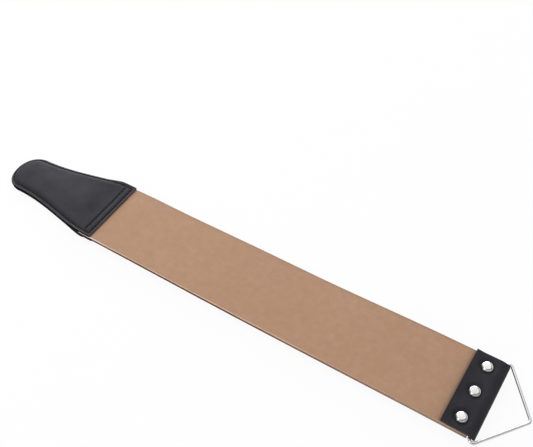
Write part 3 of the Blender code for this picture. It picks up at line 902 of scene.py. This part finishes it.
def end_band(finish):
    """Leather strip folded round the bar, pulled down by its rivets and lifting at its free edge."""
    path = fold_path()
    count = len(path)
    columns = 64
    bm = bmesh.new()
    painted_crease_shade = bm.verts.layers.float.new("painted_crease_shade")
    outer_grid, inner_grid = [], []
    for index, point in enumerate(path):
        before, after = path[max(index - 1, 0)], path[min(index + 1, count - 1)]
        forward = (after - before).normalized()
        normal = Vector((-forward.y, forward.x))
        half = band_half_width(index, count)
        upper = index < count / 2
        outer_column, inner_column = [], []
        for step in range(columns + 1):
            y = mix(-half, half, step / columns)
            lift = 0.0
            dip = 0.0
            if upper:
                free = clamp((LIFT_X - point.x) / (LIFT_X - BAND_EDGE))
                lift = BAND_LIFT * free ** 1.4 + 0.05 * free * waver(point.x, y, 5.0, 12.0)
                dip = dimple(point.x, y)
            swell = 0.03 * waver(point.x, y, 2.0, 7.0)
            outer = point + normal * (BAND_THICKNESS / 2 + swell - DIMPLE_DEPTH * dip)
            inner = point - normal * BAND_THICKNESS / 2
            vert = bm.verts.new((BAR_X + outer.x, y, BAR_Z + outer.y + lift))
            # Painted shade in each rivet's dimple, darkest in a ring round its cap
            vert[painted_crease_shade] = 0.3 * dip + 0.5 * smoothstep((dip - 0.85) / 0.15)
            outer_column.append(vert)
            inner_column.append(bm.verts.new((BAR_X + inner.x, y, BAR_Z + inner.y + lift)))
        outer_grid.append(outer_column)
        inner_grid.append(inner_column)
    grid_faces(bm, outer_grid)
    grid_faces(bm, inner_grid)
    for outer_column, inner_column in ((outer_grid[0], inner_grid[0]), (outer_grid[-1], inner_grid[-1])):
        for step in range(columns):
            bm.faces.new((outer_column[step], outer_column[step + 1],
                          inner_column[step + 1], inner_column[step]))
    for row in (0, columns):
        for index in range(count - 1):
            bm.faces.new((outer_grid[index][row], outer_grid[index + 1][row],
                          inner_grid[index + 1][row], inner_grid[index][row]))
    return finish_mesh("end_band_leather", bm, [finish], "strop", ["end_band"], BAND_ROUND)


# Rivets and ring


def turned(name, node, profile, x, y, z, steps, finish):
    """Round piece from a profile of radius and height, from the axis over its outer side to the axis."""
    bm = bmesh.new()
    columns = []
    for step in range(steps):
        angle = 2 * math.pi * step / steps
        columns.append([bm.verts.new((x + radius * math.cos(angle), y + radius * math.sin(angle), z + height))
                        for radius, height in profile])
    grid_faces(bm, columns, closed_columns=True)
    bmesh.ops.remove_doubles(bm, verts=bm.verts[:], dist=WELD)
    return finish_mesh(name, bm, [finish], "strop", [node])


def cap_profile():
    """Domed cap with a rolled lip and a socket for its post."""
    profile = []
    for step in range(17):
        angle = math.pi / 2 * step / 16
        out, up = math.sin(angle), math.cos(angle)
        reach = (out ** DOME_POWER + up ** DOME_POWER) ** (-1 / DOME_POWER)
        profile.append(((CAP_RADIUS - DOME_INSET) * reach * out, DOME_BASE + DOME_RISE * reach * up))
    for step in range(9):
        angle = math.radians(80 - 160 * step / 8)
        lip = CAP_RADIUS - LIP_RADIUS + LIP_RADIUS * math.cos(angle)
        profile.append((lip, LIP_RADIUS + LIP_RADIUS * math.sin(angle)))
    return profile + [(SOCKET_RADIUS, 0.0), (SOCKET_RADIUS, SOCKET_DEPTH), (0.0, SOCKET_DEPTH)]


def post_profile():
    """Post with a flange that has a rounded edge."""
    top = CAP_SEAT + POST_REACH
    flange_top = 2 * FLANGE_ROUND
    profile = [(0.0, top), (POST_RADIUS - POST_CHAMFER, top), (POST_RADIUS, top - POST_CHAMFER)]
    profile += [(POST_RADIUS, flange_top), (FLANGE_FLAT, flange_top)]
    for step in range(9):
        angle = math.radians(90 - 180 * step / 8)
        edge = FLANGE_RADIUS - FLANGE_ROUND + FLANGE_ROUND * math.cos(angle)
        profile.append((edge, FLANGE_ROUND + FLANGE_ROUND * math.sin(angle)))
    return profile + [(FLANGE_FOOT, 0.0), (0.0, 0.0)]


def rivets(finish):
    """Cap and post of each rivet."""
    for name, side in (("back", RIVET_SPAN), ("middle", 0.0), ("front", -RIVET_SPAN)):
        x = BAR_X + RIVET_X
        turned("rivet_dome_" + name, "rivet_cap_" + name, cap_profile(), x, side, CAP_SEAT, 56, finish)
        turned("rivet_foot_" + name, "rivet_post_" + name, post_profile(), x, side, 0.0, 40, finish)


def fillet(before, corner, after, radius, steps):
    """Arc points that round the corner of a path."""
    back = (before - corner).normalized()
    ahead = (after - corner).normalized()
    half = back.angle(ahead) / 2
    centre = corner + (back + ahead).normalized() * radius / math.sin(half)
    spoke = corner + back * radius / math.tan(half) - centre
    turn = math.copysign(math.pi - 2 * half, ahead.cross(back))
    return [centre + Matrix.Rotation(turn * step / steps, 2) @ spoke for step in range(steps + 1)]


def hanging_ring(finish):
    """Bent wire triangle whose bar lies in the fold, with its ends butted there."""
    left = Vector((0.0, RING_HALF_BASE))
    apex = Vector((RING_HEIGHT, 0.0))
    right = Vector((0.0, -RING_HALF_BASE))
    start = Vector((0.0, WIRE_GAP / 2))
    end = Vector((0.0, -WIRE_GAP / 2))
    corners = [start] + fillet(start, left, apex, BASE_BEND, BEND_STEPS)
    corners += fillet(left, apex, right, APEX_BEND, BEND_STEPS)
    corners += fillet(apex, right, end, BASE_BEND, BEND_STEPS) + [end]
    path = []
    for first, second in zip(corners, corners[1:]):
        pieces = max(round((second - first).length / WIRE_STEP), 1)
        path += [first.lerp(second, step / pieces) for step in range(pieces)]
    path.append(end)
    points, frames = [], []
    up = Vector((0.0, 0.0, 1.0))
    for index, point in enumerate(path):
        before, after = path[max(index - 1, 0)], path[min(index + 1, len(path) - 1)]
        forward = (after - before).normalized()
        points.append(Vector((BAR_X + point.x, point.y, BAR_Z)))
        frames.append((Vector((forward.y, -forward.x, 0.0)), up))
    bm = bmesh.new()
    tube_rings(bm, points, frames, [WIRE_RADIUS] * len(points), 24)
    return finish_mesh("hanging_ring_wire", bm, [finish], "ring", ["hanging_ring"])


# Stage, light and camera


def floor():
    """Pale floor under the strop."""
    bm = bmesh.new()
    bmesh.ops.create_grid(bm, x_segments=8, y_segments=8, size=FLOOR_HALF)
    bmesh.ops.translate(bm, verts=bm.verts[:], vec=(0.0, 0.0, -FLOOR_DROP))
    mesh = bpy.data.meshes.new("floor")
    bm.to_mesh(mesh)
    bm.free()
    mesh.materials.append(floor_material())
    made = bpy.data.objects.new("floor", mesh)
    bpy.context.scene.collection.objects.link(made)


def softbox(name, where, aim, size, power, mirrored=True, lighting=True):
    """Soft light aimed at a point: seen in shiny surfaces or not, and lighting plain ones or not."""
    lamp = bpy.data.lights.new(name, "AREA")
    lamp.shape = "RECTANGLE"
    lamp.size, lamp.size_y = size
    lamp.energy = power
    made = bpy.data.objects.new(name, lamp)
    made.location = where
    made.rotation_euler = (Vector(aim) - Vector(where)).to_track_quat("-Z", "Y").to_euler()
    made.visible_glossy = mirrored
    made.visible_diffuse = lighting
    bpy.context.scene.collection.objects.link(made)


def studio():
    """Surroundings that are pale at the horizon, darker overhead and on two sides, and the lamps."""
    world = bpy.data.worlds.new("studio")
    bpy.context.scene.world = world
    world.use_nodes = True
    tree = world.node_tree
    coord = add_node(tree, "ShaderNodeTexCoord").outputs["Generated"]
    height = add_node(tree, "ShaderNodeSeparateXYZ", {0: coord}).outputs["Z"]
    colour = ramp(tree, height, SKY_STOPS)
    for aim, begins, full in DARK_SIDES:
        towards = add_node(tree, "ShaderNodeVectorMath", {0: coord, 1: aim}, operation="DOT_PRODUCT")
        dark = remap(tree, towards.outputs["Value"], begins, full, 0.0, 0.95)
        colour = blend(tree, dark, colour, DARK_COLOUR)
    tree.links.new(colour, tree.nodes["Background"].inputs["Color"])
    tree.nodes["Background"].inputs["Strength"].default_value = 1.0
    softbox("main_softbox", (-0.85, 0.35, 1.08), (0.0, 0.0, 0.0), (0.9, 0.9), 9.5, mirrored=False)
    softbox("back_strip", (-1.0, 1.45, 0.5), (-0.1, 0.0, 0.0), (2.2, 0.5), 18.0)
    softbox("top_softbox", (-0.125, 0.325, 1.21), (0.2, 0.0, 0.0), (1.9, 1.5), 7.2, lighting=False)
    softbox("near_softbox", (-0.45, -0.75, 0.9), (-0.05, 0.0, 0.0), (0.35, 0.35), 3.0)
    softbox("side_softbox", (1.35, 0.30, 0.80), (0.1, 0.0, 0.0), (0.5, 0.5), 4.0, mirrored=False)


def camera():
    """Camera at the photograph's place."""
    data = bpy.data.cameras.new("camera")
    data.sensor_width = SENSOR_WIDTH
    data.sensor_fit = "HORIZONTAL"
    data.lens = CAMERA_LENS
    data.clip_start = 0.01
    made = bpy.data.objects.new("camera", data)
    made.location = CAMERA_PLACE
    made.rotation_euler = [math.radians(angle) for angle in CAMERA_TURN]
    bpy.context.scene.collection.objects.link(made)
    bpy.context.scene.camera = made


def build():
    """Every piece of the strop."""
    tan = tan_leather()
    # Last two colours of each cut edge: painted light at the mouth (highlight on the face, shade on the
    # backing), then painted shading towards the band
    face_edge = cut_edge("tan_cut_edge", srgb(198, 162, 138), srgb(216, 184, 162), srgb(228, 200, 180),
                         srgb(240, 230, 222), srgb(184, 152, 130))
    backing_edge = cut_edge("brown_cut_edge", srgb(84, 36, 18), srgb(102, 54, 34), srgb(132, 94, 72),
                            srgb(60, 32, 23), srgb(170, 138, 116))
    backing = backing_leather()
    handle_black = black_leather("handle_black_leather", srgb(40, 40, 45), srgb(48, 48, 54), srgb(55, 55, 61),
                                 pebble=900.0, gloss=0.14)
    band_black = black_leather("band_black_leather", srgb(37, 36, 40), srgb(44, 43, 48), srgb(51, 50, 55),
                               pebble=800.0, gloss=0.14)
    thread = thread_material()
    nickel = plated_metal("polished_nickel", srgb(236, 236, 232), srgb(222, 222, 219),
                          smooth=0.08, rough=0.16, scratch_scale=700.0)
    wire = plated_metal("bright_steel_wire", srgb(228, 229, 230), srgb(210, 211, 213),
                        smooth=0.12, rough=0.22, scratch_scale=900.0)

    strap_layer("strap_face_leather", "strop_face", STRAP_TOP - FACE_THICKNESS, FACE_THICKNESS,
                FACE_TOP_ROUND, FACE_LOW_ROUND, FACE_DARK_LOW_SIDE,
                [tan, face_edge, backing, backing_edge])
    strap_layer("strap_backing_leather", "strop_backing", BACKING_BOTTOM, BACKING_THICKNESS,
                BACKING_TOP_ROUND, BACKING_LOW_ROUND, BACKING_DARK_LOW_SIDE,
                [backing, backing_edge, backing, backing_edge])
    covers = [handle_black, dyed_and_shaded_edge()]
    top = handle_cover("handle_top_leather", "handle_top_cover", top_level, 1, covers)
    bottom = handle_cover("handle_bottom_leather", "handle_bottom_cover", bottom_level, -1, covers)
    handle_filler(felt_material())
    for word, level_at, side in (("top", top_level, 1), ("bottom", bottom_level, -1)):
        edge_path = edge_seam_path(level_at, side)
        cross_path = cross_seam_path(level_at, side)
        stitches("edge_stitches_" + word, "edge_seam_" + word, edge_path, side, thread)
        stitches("cross_stitches_" + word, "cross_seam_" + word, cross_path, side, thread)
    end_band(band_black)
    rivets(nickel)
    hanging_ring(wire)


build()
floor()
studio()
camera()
bpy.context.scene.view_settings.view_transform = "Standard"
